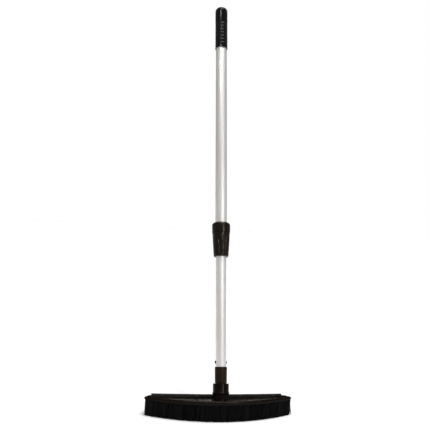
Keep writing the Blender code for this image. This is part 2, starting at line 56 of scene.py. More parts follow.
# The head's driving dimensions, as the CAD has them: x across, v backwards, w up from the rim's crest
HEAD_TILT = radians(6)
DECK_HEIGHT = 38.9 * MM
HEAD = Matrix.Translation((0, 0, DECK_HEIGHT)) @ Matrix.Rotation(-HEAD_TILT, 4, "X")
HEAD_HALF_WIDTH = 154.5 * MM
REAR_HALF_WIDTH = 141.0 * MM
FRONT_V = -16.0 * MM
FRONT_RADIUS = 306.5 * MM
REAR_V = 37.0 * MM
REAR_SAG = 7.0 * MM
SQUEEGEE_HALF_WIDTH = 136.0 * MM
CORNER_RADIUS = 6.0 * MM
REBATE_WIDTH = 8.3 * MM
REBATE_DEPTH = 3.5 * MM
REBATE_SPARE = 0.4 * MM  # past the strip at each end
BLOCK_DEPTH = 10.5 * MM
SCREW_X = [x * MM for x in (-115.0, -45.0, 45.0, 115.0)]
SCREW_HOLE_RADIUS = 1.6 * MM
SCREW_HOLE_DEPTH = 9.4 * MM
EDGE_SHARE = 0.95  # of each long edge, up to where its corner fillets begin

CREST_WIDTH = 3.7 * MM  # of the rim's rounded outer shoulder
CREST_HEIGHT = 3.1 * MM
CREST_STEPS = 9

# The socket's radii, and its heights along the pole
SOCKET_BASE = 30 * MM
SOCKET_WAIST = 15.2 * MM
SOCKET_RADIUS = 16.2 * MM
SOCKET_REACH = 17 * MM  # points of the block nearer the axis than this belong to the socket
RING_RADIUS = 17.0 * MM
RING_HEIGHT = 48.6 * MM
BORE_BASE = 34 * MM
BORE_RADIUS = 10.3 * MM
MOUTH_RADIUS = 12.3 * MM

CLEARANCE = 0.3 * MM  # between neighbours, as in the CAD
SHARP_ANGLE = 32  # degrees; a steeper edge is shaded sharp
TURNED_STEPS = 96
rng = np.random.default_rng(7)


# --- Mesh helpers -------------------------------------------------------------------------------------


def add_object(name, mesh, finish, body=None, place=None):
    """A piece riding on a body. Its mesh is moved to its place, so the object itself sits at the origin."""
    if place:
        mesh.transform(place)
    made = bpy.data.objects.new(name, mesh)
    bpy.context.scene.collection.objects.link(made)
    if finish:
        mesh.materials.clear()
        mesh.materials.append(finish)
    if body:
        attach(made, body)
    return made


def mesh_from(bm, name, sharp=SHARP_ANGLE):
    bmesh.ops.recalc_face_normals(bm, faces=bm.faces)
    mesh = bpy.data.meshes.new(name)
    bm.to_mesh(mesh)
    bm.free()
    mesh.shade_smooth()
    mesh.set_sharp_from_angle(angle=radians(sharp))
    return mesh


def softened(points, radius, steps=3):
    """Round each corner between a polyline's ends with a short curve."""
    result = [points[0]]
    for before, corner, after in zip(points, points[1:], points[2:]):
        here = Vector(corner)
        back, ahead = Vector(before) - here, Vector(after) - here
        cut = min(radius, back.length * 0.45, ahead.length * 0.45)
        start, end = here + back.normalized() * cut, here + ahead.normalized() * cut
        for step in range(steps + 1):
            t = step / steps
            result.append(tuple(start * (1 - t) ** 2 + here * 2 * t * (1 - t) + end * t * t))
    return [*result, points[-1]]


def turned_mesh(name, profile, steps=TURNED_STEPS, radius_at=None):
    """Spin (radius, height) points about Z. radius_at(radius, height, angle) may vary the radius.

    A profile that starts off the axis is a closed loop, and may run along the axis on its way."""
    bm = bmesh.new()
    closed = profile[0][0] > 0
    rings = []
    for step in range(steps):
        angle = 2 * pi * step / steps
        ring = []
        for r, z in profile:
            if r <= 0 and rings:
                ring.append(rings[0][len(ring)])
                continue
            r = radius_at(r, z, angle) if radius_at else r
            ring.append(bm.verts.new((r * cos(angle), r * sin(angle), z)))
        rings.append(ring)
    pairs = list(zip(range(len(profile)), range(1, len(profile))))
    if closed:
        pairs.append((len(profile) - 1, 0))
    for near, far in zip(rings, rings[1:] + rings[:1]):
        for i, j in pairs:
            corners = list(dict.fromkeys((near[i], far[i], far[j], near[j])))
            if len(corners) > 2:
                bm.faces.new(corners)
    return mesh_from(bm, name)


def lofted_mesh(name, sections):
    """Join closed sections of equal length and cap the two ends."""
    bm = bmesh.new()
    rings = [[bm.verts.new(p) for p in section] for section in sections]
    count = len(rings[0])
    for near, far in zip(rings, rings[1:]):
        for i in range(count):
            j = (i + 1) % count
            bm.faces.new((near[i], near[j], far[j], far[i]))
    bm.faces.new(rings[0])
    bm.faces.new(rings[-1])
    return mesh_from(bm, name)


def combine(target, mesh, place, operation):
    """Apply one exact Boolean to a mesh object that rides on nothing yet."""
    other = add_object("tool", mesh, None, place=place)
    step = target.modifiers.new("combine", "BOOLEAN")
    step.operation = operation
    step.solver = "EXACT"
    step.object = other
    bpy.context.view_layer.update()
    evaluated = target.evaluated_get(bpy.context.evaluated_depsgraph_get())
    result = bpy.data.meshes.new_from_object(evaluated)
    target.modifiers.clear()
    target.data = result
    bpy.data.objects.remove(other)


def along_pole(node):
    """A CAD node's points in the pole's own frame."""
    inverse = POLE.inverted()
    return [inverse @ vertex.co for vertex in frame["nodes"][node].data.vertices]


def span(node):
    """A CAD node's lowest and highest point along the pole."""
    heights = [p.z for p in along_pole(node)]
    return min(heights), max(heights)


def reach(node):
    """A CAD node's largest radius about the pole."""
    return max(p.xy.length for p in along_pole(node))


# --- Materials ----------------------------------------------------------------------------------------


NOISE_LOW, NOISE_HIGH = 0.3, 0.7  # noise seldom leaves this range


def new_material(name, roughness, metallic=0.0, specular=0.5):
    made = bpy.data.materials.new(name)
    made.use_nodes = True
    shader = made.node_tree.nodes["Principled BSDF"]
    shader.inputs["Specular IOR Level"].default_value = specular
    shader.inputs["Roughness"].default_value = roughness
    shader.inputs["Metallic"].default_value = metallic
    return made, made.node_tree, shader


def noise(tree, scale, detail=3.0, stretch=(1, 1, 1), rough=0.5, lean=0.0):
    """Noise in the object's own coordinates, with features about 1/scale metres across.

    It is stretched along the axes, after they are turned back by lean."""
    place = tree.nodes.new("ShaderNodeTexCoord")
    upright = tree.nodes.new("ShaderNodeMapping")
    upright.inputs["Rotation"].default_value = (lean, 0, 0)
    mapping = tree.nodes.new("ShaderNodeMapping")
    mapping.inputs["Scale"].default_value = stretch
    texture = tree.nodes.new("ShaderNodeTexNoise")
    texture.inputs["Scale"].default_value = scale
    texture.inputs["Detail"].default_value = detail
    texture.inputs["Roughness"].default_value = rough
    tree.links.new(place.outputs["Object"], upright.inputs["Vector"])
    tree.links.new(upright.outputs["Vector"], mapping.inputs["Vector"])
    tree.links.new(mapping.outputs["Vector"], texture.inputs["Vector"])
    return texture.outputs["Fac"]


def ramp(tree, value, low, high, start=NOISE_LOW, end=NOISE_HIGH):
    """Map a value to a colour between low and high."""
    made = tree.nodes.new("ShaderNodeValToRGB")
    made.color_ramp.elements[0].position = start
    made.color_ramp.elements[0].color = (*low, 1)
    made.color_ramp.elements[1].position = end
    made.color_ramp.elements[1].color = (*high, 1)
    tree.links.new(value, made.inputs["Fac"])
    return made.outputs["Color"]


def between(tree, value, low, high):
    """Map noise to a number between low and high."""
    made = tree.nodes.new("ShaderNodeMapRange")
    made.inputs["From Min"].default_value = NOISE_LOW
    made.inputs["From Max"].default_value = NOISE_HIGH
    made.inputs["To Min"].default_value = low
    made.inputs["To Max"].default_value = high
    tree.links.new(value, made.inputs["Value"])
    return made.outputs["Result"]


def bump(tree, shader, value, height, strength=0.5):
    """Raise the surface by a value, with height in metres. Bumps chain on one another."""
    made = tree.nodes.new("ShaderNodeBump")
    made.inputs["Strength"].default_value = strength
    made.inputs["Distance"].default_value = height
    tree.links.new(value, made.inputs["Height"])
    earlier = shader.inputs["Normal"].links
    if earlier:
        tree.links.new(earlier[0].from_socket, made.inputs["Normal"])
    tree.links.new(made.outputs["Normal"], shader.inputs["Normal"])


def moulded_plastic(
    name, low, high, roughness, specular=0.35, grain=1500, grain_height=0.00003, tint=(1, 1, 1)
):
    """Moulded plastic: a soft mottle in the colour, smears in the gloss and a fine spark-eroded grain."""
    made, tree, shader = new_material(name, roughness, specular=specular)
    shader.inputs["Specular Tint"].default_value = (*tint, 1)
    tree.links.new(ramp(tree, noise(tree, 60, 4), low, high), shader.inputs["Base Color"])
    smear = noise(tree, 90, 5, rough=0.65)
    tree.links.new(between(tree, smear, roughness - 0.06, roughness + 0.08), shader.inputs["Roughness"])
    bump(tree, shader, noise(tree, grain, 2), grain_height)
    return made


def satin_aluminium():
    """Drawn and anodised tube: long fine draw lines and a faint warm mottle."""
    made, tree, shader = new_material("satin_aluminium", 0.55, metallic=1.0)
    mottle = noise(tree, 25, 4, (1, 1, 0.3), lean=LEAN)
    tree.links.new(ramp(tree, mottle, (0.74, 0.72, 0.69), (0.80, 0.79, 0.77)), shader.inputs["Base Color"])
    lines = noise(tree, 1400, 3, (1, 1, 0.004), lean=LEAN)
    tree.links.new(between(tree, lines, 0.50, 0.60), shader.inputs["Roughness"])
    bump(tree, shader, lines, 0.00002, 0.4)
    return made


def filament_nylon():
    """Black filament: each one a little lighter or duller than its neighbour."""
    made, tree, shader = new_material("filament", 0.45, specular=0.08)
    geometry = tree.nodes.new("ShaderNodeNewGeometry")
    each = geometry.outputs["Random Per Island"]
    shade = ramp(tree, each, (0.0003, 0.0003, 0.0004), (0.004, 0.004, 0.0045), 0.0, 1.0)
    tree.links.new(shade, shader.inputs["Base Color"])
    bump(tree, shader, noise(tree, 900, 2, (1, 1, 0.1)), 0.00003, 0.4)
    return made


def blade_rubber():
    """Matt moulded rubber with a dusty bloom."""
    made, tree, shader = new_material("blade_rubber", 0.55, specular=0.15)
    bloom = noise(tree, 45, 6, rough=0.7)
    shade = ramp(tree, bloom, (0.005, 0.005, 0.005), (0.014, 0.013, 0.012))
    tree.links.new(shade, shader.inputs["Base Color"])
    tree.links.new(between(tree, bloom, 0.52, 0.72), shader.inputs["Roughness"])
    bump(tree, shader, noise(tree, 2200, 2), 0.00003, 0.5)
    return made


def dark_zinc():
    """Zinc-plated steel with a dark passivation."""
    made, tree, shader = new_material("dark_zinc", 0.35, metallic=1.0)
    cloud = noise(tree, 700, 4)
    tree.links.new(ramp(tree, cloud, (0.02, 0.018, 0.016), (0.06, 0.055, 0.05)), shader.inputs["Base Color"])
    tree.links.new(between(tree, cloud, 0.28, 0.5), shader.inputs["Roughness"])
    bump(tree, shader, noise(tree, 3500, 2), 0.00002, 0.4)
    return made


HEAD_PLASTIC = moulded_plastic(
    "head_plastic",
    low=(0.0020, 0.0010, 0.0007),
    high=(0.0050, 0.0028, 0.0022),
    roughness=0.20,
    specular=0.09,
    grain_height=0.000008,
    tint=(1, 0.82, 0.74),
)
LOCK_PLASTIC = moulded_plastic(
    "lock_plastic",
    low=(0.0024, 0.0018, 0.0010),
    high=(0.006, 0.0046, 0.0028),
    roughness=0.26,
    specular=0.22,
    grain_height=0.00001,
    tint=(1, 0.86, 0.68),
)
FERRULE_PLASTIC = moulded_plastic(
    "ferrule_plastic",
    low=(0.008, 0.0044, 0.0022),
    high=(0.016, 0.0092, 0.005),
    roughness=0.42,
    specular=0.12,
    tint=(1, 0.84, 0.68),
)
GRIP_PLASTIC = moulded_plastic(
    "grip_plastic",
    low=(0.0006, 0.0006, 0.0005),
    high=(0.0018, 0.0018, 0.0016),
    roughness=0.22,
    specular=0.17,
    grain=2000,
    grain_height=0.000008,
)
INNER_PLASTIC = moulded_plastic(
    "inner_plastic",
    low=(0.50, 0.48, 0.43),
    high=(0.66, 0.64, 0.58),
    roughness=0.48,
)
ALUMINIUM = satin_aluminium()
FILAMENT = filament_nylon()
RUBBER = blade_rubber()
ZINC = dark_zinc()


# --- Head ---------------------------------------------------------------------------------------------


def front_edge(x):
    return FRONT_V + FRONT_RADIUS - sqrt(FRONT_RADIUS**2 - x * x)


def rear_edge(x):
    return REAR_V + REAR_SAG * (x / SQUEEGEE_HALF_WIDTH) ** 2


def fillet(before, corner, after, steps=8):
    """Round one corner of an outline with an arc."""
    corner = Vector(corner)
    into = (corner - Vector(before)).normalized()
    out = (Vector(after) - corner).normalized()
    turn = into.angle(out)
    start = corner - into * CORNER_RADIUS * tan(turn / 2)
    centre = start + Vector((-into.y, into.x)) * CORNER_RADIUS
    first = atan2(start.y - centre.y, start.x - centre.x)
    angles = [first + turn * i / steps for i in range(steps + 1)]
    return [(centre.x + CORNER_RADIUS * cos(a), centre.y + CORNER_RADIUS * sin(a)) for a in angles]


def head_outline(front_steps=110, rear_steps=70):
    """The block's plan, counter-clockwise from the front's left end."""
    front = [HEAD_HALF_WIDTH * EDGE_SHARE * (2 * i / front_steps - 1) for i in range(front_steps + 1)]
    rear = [REAR_HALF_WIDTH * EDGE_SHARE * (1 - 2 * i / rear_steps) for i in range(rear_steps + 1)]
    front = [(x, front_edge(x)) for x in front]
    rear = [(x, rear_edge(x)) for x in rear]
    front_right = (HEAD_HALF_WIDTH, front_edge(HEAD_HALF_WIDTH))
    rear_right = (REAR_HALF_WIDTH, rear_edge(REAR_HALF_WIDTH))
    front_left = (-front_right[0], front_right[1])
    rear_left = (-rear_right[0], rear_right[1])
    return [
        *front,
        *fillet(front[-1], front_right, rear_right),
        *fillet(front_right, rear_right, rear[0]),
        *rear,
        *fillet(rear[-1], rear_left, front_left),
        *fillet(rear_left, front_left, front[0]),
    ]


def inset(outline, distance):
    """Move each point of a counter-clockwise outline inwards."""
    moved = []
    count = len(outline)
    for i, here in enumerate(outline):
        before, after = outline[i - 1], outline[(i + 1) % count]
        into = Vector((here[0] - before[0], here[1] - before[1])).normalized()
        out = Vector((after[0] - here[0], after[1] - here[1])).normalized()
        along = (into + out).normalized()
        inwards = Vector((-along.y, along.x)) * (distance / along.dot(into))
        moved.append((here[0] + inwards.x, here[1] + inwards.y))
    return moved


def rear_strip_mesh(name, section, half_width, stations=72):
    """Sweep a section along the rear edge. Its points are (distance in front of the edge, height)."""
    xs = [half_width * (2 * i / stations - 1) for i in range(stations + 1)]
    return lofted_mesh(name, [[(x, rear_edge(x) - d, w) for d, w in section] for x in xs])


def screw_place(x):
    """Where a screw hole goes, in the head's own frame."""
    return Matrix.Translation((x, rear_edge(x) - REBATE_WIDTH / 2, 0))


def rim_steps():
    """The block's edge from below, over the rim and down to the deck: (distance in, height) points."""
    below = [
        (5.2 * MM, -BLOCK_DEPTH),
        (4.4 * MM, -BLOCK_DEPTH + 0.6 * MM),
        (1.3 * MM, -4.7 * MM),
        (0.9 * MM, -4.3 * MM),
        (0, -3.7 * MM),
        (0, -CREST_HEIGHT),
    ]
    angles = [pi / 2 * i / CREST_STEPS for i in range(1, CREST_STEPS + 1)]
    crest = [(CREST_WIDTH * (1 - cos(a)), CREST_HEIGHT * (sin(a) - 1)) for a in angles]
    inside = [(CREST_WIDTH, 0), (4.5 * MM, -0.3 * MM), (5.0 * MM, -1.5 * MM), (5.4 * MM, -1.6 * MM)]
    return [*softened(below, 0.8 * MM), *crest, *softened(inside, 0.8 * MM)[1:]]


def socket_mesh(top):
    """The socket's outside: a waist, a ring and a straight neck."""
    shape = [
        (0, SOCKET_BASE),
        (SOCKET_WAIST, SOCKET_BASE),
        (SOCKET_WAIST, RING_HEIGHT - 2.6 * MM),
        (RING_RADIUS, RING_HEIGHT),
        (RING_RADIUS, RING_HEIGHT + 2.4 * MM),
        (SOCKET_RADIUS, RING_HEIGHT + 3.2 * MM),
        (SOCKET_RADIUS, top),
        (0, top),
    ]
    return turned_mesh("socket", softened(shape, 0.8 * MM))


def head_shell():
    """The moulding: a rolled rim round a sunk deck, undercut below, with a ringed socket for the pole."""
    outline = head_outline()
    sections = [[(x, v, w) for x, v in inset(outline, distance)] for distance, w in rim_steps()]
    shell = add_object("head_shell", lofted_mesh("head_shell", sections), HEAD_PLASTIC, place=HEAD)

    _, top = socket_span()
    combine(shell, socket_mesh(top), POLE, "UNION")
    rebate = [
        (REBATE_WIDTH, -REBATE_DEPTH),
        (REBATE_WIDTH, 2 * MM),
        (-3 * MM, 2 * MM),
        (-3 * MM, -REBATE_DEPTH),
    ]
    rebate_half_width = SQUEEGEE_HALF_WIDTH + REBATE_SPARE
    combine(shell, rear_strip_mesh("rebate", rebate, rebate_half_width), HEAD, "DIFFERENCE")
    bore = [
        (0, BORE_BASE),
        (BORE_RADIUS, BORE_BASE),
        (BORE_RADIUS, top - MM),
        (MOUTH_RADIUS, top + MM),
        (0, top + MM),
    ]
    combine(shell, turned_mesh("bore", bore), POLE, "DIFFERENCE")
    hole = [
        (0, -SCREW_HOLE_DEPTH),
        (SCREW_HOLE_RADIUS, -SCREW_HOLE_DEPTH),
        (SCREW_HOLE_RADIUS, 0),
        (0, 0),
    ]
    for x in SCREW_X:
        combine(shell, turned_mesh("hole", hole, 24), HEAD @ screw_place(x), "DIFFERENCE")
    shell.data.shade_smooth()
    shell.data.set_sharp_from_angle(angle=radians(SHARP_ANGLE))
    shell.data.materials.clear()
    shell.data.materials.append(HEAD_PLASTIC)
    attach(shell, LOWER)
    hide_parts("head_block")


def socket_span():
    """Lowest and highest point of the head block along the pole's axis, near that axis."""
    heights = [p.z for p in along_pole("head_block") if p.xy.length < SOCKET_REACH]
    return min(heights), max(heights)


# --- Bristles -----------------------------------------------------------------------------------------


SHARES = np.linspace(0, 1, 9)  # of a row's depth, from its front to its back
SAME_STATION = 0.05 * MM  # points whose x differ by less stand at one station
FIRST_LINE, LINE_STEP = 0.27, 0.46  # where a row's two lines of tufts run, as shares of its depth
TUFT_PITCH = 4.1 * MM
TUFT_ROOT = 1.55 * MM  # a tuft's radius at its root, and below at its tips
TUFT_TIP = 2.35 * MM
TUFT_LEAN = 0.35 * MM  # like UNEVEN_TIPS, FILAMENT_WANDER and FILAMENT_BOW, a standard deviation
UNEVEN_TRIM = 0.9 * MM  # the most that one tuft is shorter than another
UNEVEN_TIPS = 0.12 * MM  # within a tuft
FILAMENT_RADIUS = 0.36 * MM
FILAMENT_WANDER = 0.22 * MM
FILAMENT_BOW = 0.25 * MM
FILAMENTS_PER_TUFT = {1: 27, 2: 12, 3: 11, 4: 12, 5: 20}
GOLDEN_ANGLE = pi * (3 - sqrt(5))
END_SPREAD = 2.0 * MM  # how far the end tufts reach past the CAD row, up the block's end chamfer
END_CHAMFER = 1.6 * MM
CHAMFER_SLOPE = 1.3
ROOT_DEPTH = 0.9 * MM  # how far each filament starts inside the block
COMBED = 0.7 * MM  # how far the tips are combed to the left
STRAYS = 14


def stations(points):
    """Group points that share an x. Gives the xs, and for each the (y, z) at shares from front to back."""
    groups = []
    for point in sorted(points, key=lambda p: p.x):
        if groups and point.x - groups[-1][0].x < SAME_STATION:
            groups[-1].append(point)
        else:
            groups.append([point])
    lines = []
    for group in groups:
        group.sort(key=lambda p: p.y)
        ys, zs = [p.y for p in group], [p.z for p in group]
        y = ys[0] + (ys[-1] - ys[0]) * SHARES
        lines.append(np.stack([y, np.interp(y, ys, zs)], axis=1))
    return np.array([group[0].x for group in groups]), np.array(lines)


def across_row(xs, lines, x, share):
    """The (y, z) of a row's line at x and at a share of its depth."""
    at_x = [[np.interp(x, xs, lines[:, j, axis]) for j in range(len(SHARES))] for axis in (0, 1)]
    return [np.interp(share, SHARES, values) for values in at_x]


def filaments_mesh(name, roots, tips, bows, radius):
    """One mesh of thin three-sided filaments, each with a root, a middle and a flat-cut tip."""
    count = len(roots)
    stages = [(roots, 1.0), ((roots + tips) / 2 + bows, 1.0), (tips, 0.8)]
    turn = rng.uniform(0, 2 * pi, count)
    points = np.zeros((count, 9, 3))
    for stage, (centre, share) in enumerate(stages):
        for side in range(3):
            angle = turn + 2 * pi * side / 3
            points[:, stage * 3 + side, 0] = centre[:, 0] + np.cos(angle) * radius * share
            points[:, stage * 3 + side, 1] = centre[:, 1] + np.sin(angle) * radius * share
            points[:, stage * 3 + side, 2] = centre[:, 2]
    faces = [(2, 1, 0), (6, 7, 8)]
    for stage in (0, 3):
        for side in range(3):
            after = (side + 1) % 3
            faces.append((stage + side, stage + after, stage + 3 + after, stage + 3 + side))
    every = [tuple(9 * i + corner for corner in face) for i in range(count) for face in faces]
    mesh = bpy.data.meshes.new(name)
    mesh.from_pydata(points.reshape(-1, 3).tolist(), [], every)
    mesh.shade_smooth()
    mesh.set_sharp_from_angle(angle=radians(70))
    return mesh


def stray_filaments(root_x, root_lines):
    """Filaments splayed outwards past the row's right end."""
    xs = root_x[-1] - rng.uniform(0, 2.5, STRAYS) * MM
    shares = rng.uniform(0.1, 0.9, STRAYS)
    roots = np.array([(x, *across_row(root_x, root_lines, x, share)) for x, share in zip(xs, shares)])
    outwards = rng.uniform(1.5, 5.5, STRAYS) * MM
    tips = roots + np.stack([outwards, rng.normal(0, 1.5 * MM, STRAYS), np.zeros(STRAYS)], axis=1)
    tips[:, 2] = np.abs(rng.normal(0, 3.0 * MM, STRAYS))
    return roots, tips


def bristle_tufts(number):
    """One row of tufts, two staggered lines deep, in the space of its CAD row."""
    node = f"bristle_row_{number}"
    points = [vertex.co.copy() for vertex in frame["nodes"][node].data.vertices]
    root_x, root_lines = stations([p for p in points if p.z > MM])
    tip_x, tip_lines = stations([p for p in points if p.z <= MM])
    per_tuft = FILAMENTS_PER_TUFT[number]
    half = root_x[-1] + END_SPREAD - TUFT_ROOT - FILAMENT_RADIUS
    tip_half = tip_x[-1] - TUFT_TIP
    depth = root_lines[len(root_x) // 2, -1, 0] - root_lines[len(root_x) // 2, 0, 0]
    margin = FILAMENT_RADIUS / depth
    tufts = int(2 * half / TUFT_PITCH)
    ring = (np.arange(per_tuft) + 0.5) / per_tuft
    roots, tips, trims = [], [], []
    for line in range(2):
        across = FIRST_LINE + LINE_STEP * line
        for tuft in range(tufts + 1):
            middle = -half + 2 * half * (tuft + 0.5 * line) / (tufts + 0.5)
            tip_middle = middle * tip_half / half
            lean = rng.normal(0, TUFT_LEAN, 2) - (COMBED, 0)
            trim = rng.uniform(0, UNEVEN_TRIM)
            angles = rng.uniform(0, 2 * pi) + np.arange(per_tuft) * GOLDEN_ANGLE
            sides, depths = np.sqrt(ring) * np.cos(angles), np.sqrt(ring) * np.sin(angles)
            wander = rng.normal(0, FILAMENT_WANDER, (per_tuft, 2))
            for side, back, (drift_x, drift_y) in zip(sides, depths, wander):
                x = middle + side * TUFT_ROOT
                share = np.clip(across + back * TUFT_ROOT / depth, margin, 1 - margin)
                roots.append((x, *across_row(root_x, root_lines, x, share)))
                x = tip_middle + side * TUFT_TIP + lean[0] + drift_x
                x = np.clip(x, tip_x[0] - COMBED, tip_x[-1] - COMBED)
                share = across + (back * TUFT_TIP + lean[1] + drift_y) / depth
                tips.append((x, *across_row(tip_x, tip_lines, x, np.clip(share, margin, 1 - margin))))
                trims.append(trim)
    roots, tips = np.array(roots), np.array(tips)
    tips[:, 2] = np.abs(rng.normal(0, UNEVEN_TIPS, len(tips))) + np.array(trims)
    chamfer = np.maximum(0, np.abs(roots[:, 0]) - root_x[-1] + END_CHAMFER)
    roots[:, 2] += ROOT_DEPTH + chamfer * CHAMFER_SLOPE
    bows = rng.normal(0, FILAMENT_BOW, roots.shape) * (1, 1, 0)
    if number == 1:
        stray_roots, stray_tips = stray_filaments(root_x, root_lines)
        roots, tips = np.concatenate([roots, stray_roots]), np.concatenate([tips, stray_tips])
        bows = np.concatenate([bows, np.zeros(stray_roots.shape)])
    mesh = filaments_mesh(f"bristles_{number}", roots, tips, bows, FILAMENT_RADIUS)
    made = add_object(f"bristles_{number}", mesh, FILAMENT, LOWER)
    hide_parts(node)


# --- Turned pieces on the pole ------------------------------------------------------------------------


LOWER_WALL = 0.9 * MM
UPPER_WALL = 1.0 * MM
TUBE_EDGE = 0.25 * MM  # rounding of a cut tube end
MOULDED_EDGE = 0.5 * MM  # rounding of the turned mouldings

PLUG_RADIUS = 10.0 * MM  # of the ferrule's plain plug in the socket, where the thread would be
FERRULE_SHOWN = 32.0 * MM  # height above the socket
NECK_RADIUS = 14.9 * MM  # of the band's plain neck inside the nut, where the thread would be

FLUTES = 16
FLUTE_DEPTH = 0.95 * MM
NUT_LEVELS = 22
NUT_BORE = 15.2 * MM
NUT_BOTTOM_RADIUS = 15.65 * MM
CONE_RADIUS = 13.5 * MM  # of the nut's inner cone at its narrow end
CONE_BASE = 334.0 * MM  # heights along the pole
CONE_TOP = 348.0 * MM

GRIP_TURNED_STEPS = 80
RIBS = 7
RIB_PITCH = 8.6 * MM
RIB_STEPS = 10
GROOVE_DEPTH = 0.75 * MM
FIRST_GROOVE = 5.7 * MM  # above the grip's lower end
PLAIN_BAND = 3.4 * MM  # from a groove's middle to the plain wall beyond it
DOME_RADIUS = 9.5 * MM
DOME_STEPS = 12
END_WALL = 6.5 * MM


def pole_piece(name, node, mesh, finish, body):
    """A piece built round the pole's axis, in place of its CAD node."""
    made = add_object(name, mesh, finish, body, POLE)
    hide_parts(node)
    return made


def drawn_tube(name, node, wall, body):
    """An open tube with softly rounded ends."""
    low, high = span(node)
    r = reach(node)
    outer = softened([(r - wall, low), (r, low), (r, high), (r - wall, high)], TUBE_EDGE)
    pole_piece(name, node, turned_mesh(name, outer), ALUMINIUM, body)


def ferrule():
    """The plug between socket and tube, with a bevelled mouth round the tube."""
    low, high = span("pole_ferrule")
    _, seat = socket_span()
    seat += CLEARANCE
    tube_low, _ = span("lower_tube")
    cup = reach("lower_tube") + CLEARANCE
    r = reach("pole_ferrule")
    mouth = seat + FERRULE_SHOWN
    profile = softened(
        [
            (0, low),
            (9.0 * MM, low),
            (PLUG_RADIUS, low + MM),
            (PLUG_RADIUS, seat),
            (r - 0.4 * MM, seat),
            (r - 0.3 * MM, seat + 5.6 * MM),
            (r, mouth - 1.4 * MM),
            (r - 0.9 * MM, mouth),
            (cup, mouth),
            (cup, tube_low - CLEARANCE),
            (cup - 1.5 * MM, tube_low - CLEARANCE),
            (cup - 1.5 * MM, high),
            (0, high),
        ],
        MOULDED_EDGE,
    )
    mesh = turned_mesh("ferrule_body", profile)
    pole_piece("ferrule_body", "pole_ferrule", mesh, FERRULE_PLASTIC, LOWER)


def lock_band():
    """The lock's fixed half: a smooth band with a bevelled shoulder, and the neck inside the nut."""
    low, high = span("collet_body")
    r = reach("collet_body")
    _, nut_top = span("lock_nut")
    under = nut_top + CLEARANCE
    bore = reach("upper_tube") + CLEARANCE
    guide = reach("lower_tube") + CLEARANCE
    tube_low, _ = span("upper_tube")
    outer = softened(
        [
            (guide, low),
            (NECK_RADIUS, low),
            (NECK_RADIUS, under),
            (r, under),
            (r, high - 4.2 * MM),
            (r - 1.2 * MM, high - 1.8 * MM),
            (r - 3.8 * MM, high),
            (bore + 0.4 * MM, high),
            (bore, high - 0.4 * MM),
            (bore, tube_low - CLEARANCE),
            (guide, tube_low - CLEARANCE),
        ],
        MOULDED_EDGE,
    )
    mesh = turned_mesh("lock_band", outer)
    pole_piece("lock_band", "collet_body", mesh, LOCK_PLASTIC, UPPER)


def twist_nut():
    """The tapered nut, with scooped flutes that deepen towards its lower end."""
    low, high = span("lock_nut")
    top_radius = reach("lock_nut")
    lip = reach("lower_tube") + 0.45 * MM

    def wall(z):
        return NUT_BOTTOM_RADIUS + (top_radius - NUT_BOTTOM_RADIUS) * (z - low) / (high - low)

    outer = [(lip, low + 0.6 * MM), (lip + 0.9 * MM, low), (NUT_BOTTOM_RADIUS - 1.8 * MM, low)]
    outer += [(NUT_BOTTOM_RADIUS - 0.5 * MM, low + 0.5 * MM)]
    wall_height = high - low - 2.2 * MM
    heights = [low + 1.6 * MM + wall_height * i / NUT_LEVELS for i in range(NUT_LEVELS + 1)]
    outer += [(wall(z), z) for z in heights]
    outer += [(wall(high) - 0.4 * MM, high - 0.1 * MM), (wall(high) - 0.9 * MM, high), (NUT_BORE, high)]
    outer += [(NUT_BORE, CONE_TOP), (CONE_RADIUS, CONE_BASE), (lip, CONE_BASE)]

    def fluted(r, z, angle):
        """Leave the bore round, and let the flutes run out above and below."""
        if r < NUT_BORE + 0.01 * MM:
            return r
        share = (high - z) / (high - low)
        from_below = min(1, max(0, (z - low - 1.0 * MM) / (4 * MM)))
        from_above = min(1, max(0, (high - 3 * MM - z) / (9 * MM)))
        scoop = max(0.0, cos(FLUTES * angle)) ** 0.8
        return r - scoop * (from_below * from_above) * (0.45 + 0.55 * share) * FLUTE_DEPTH

    mesh = turned_mesh("twist_nut", outer, FLUTES * 12, fluted)
    pole_piece("twist_nut", "lock_nut", mesh, LOCK_PLASTIC, "lock_nut")


def ribbed_grip():
    """The grip: rounded ribs below, a plain band and a domed end above."""
    low, high = span("hand_grip")
    r = reach("hand_grip")
    bore = reach("upper_tube") + CLEARANCE
    first_groove = low + FIRST_GROOVE
    last_groove = first_groove + RIBS * RIB_PITCH
    profile = [(bore, low + 0.3 * MM), (bore + 0.3 * MM, low), (r - 0.5 * MM, low), (r, low + 0.5 * MM)]
    profile += [(r, first_groove - PLAIN_BAND)]
    steps = RIBS * RIB_STEPS
    for i in range(steps + 1):
        z = first_groove + (last_groove - first_groove) * i / steps
        valley = (0.5 + 0.5 * cos(2 * pi * (z - first_groove) / RIB_PITCH)) ** 1.6
        profile.append((r - GROOVE_DEPTH * valley, z))
    profile += [(r, last_groove + PLAIN_BAND)]
    for i in range(DOME_STEPS + 1):
        angle = pi / 2 * i / DOME_STEPS
        out, up = DOME_RADIUS * cos(angle), DOME_RADIUS * sin(angle)
        profile.append((r - DOME_RADIUS + out, high - DOME_RADIUS + up))
    profile += [(0, high), (0, high - END_WALL), (bore, high - END_WALL)]
    mesh = turned_mesh("ribbed_grip", profile, GRIP_TURNED_STEPS)
    pole_piece("ribbed_grip", "hand_grip", mesh, GRIP_PLASTIC, UPPER)


# --- Pieces that keep their CAD shape, with softened edges --------------------------------------------


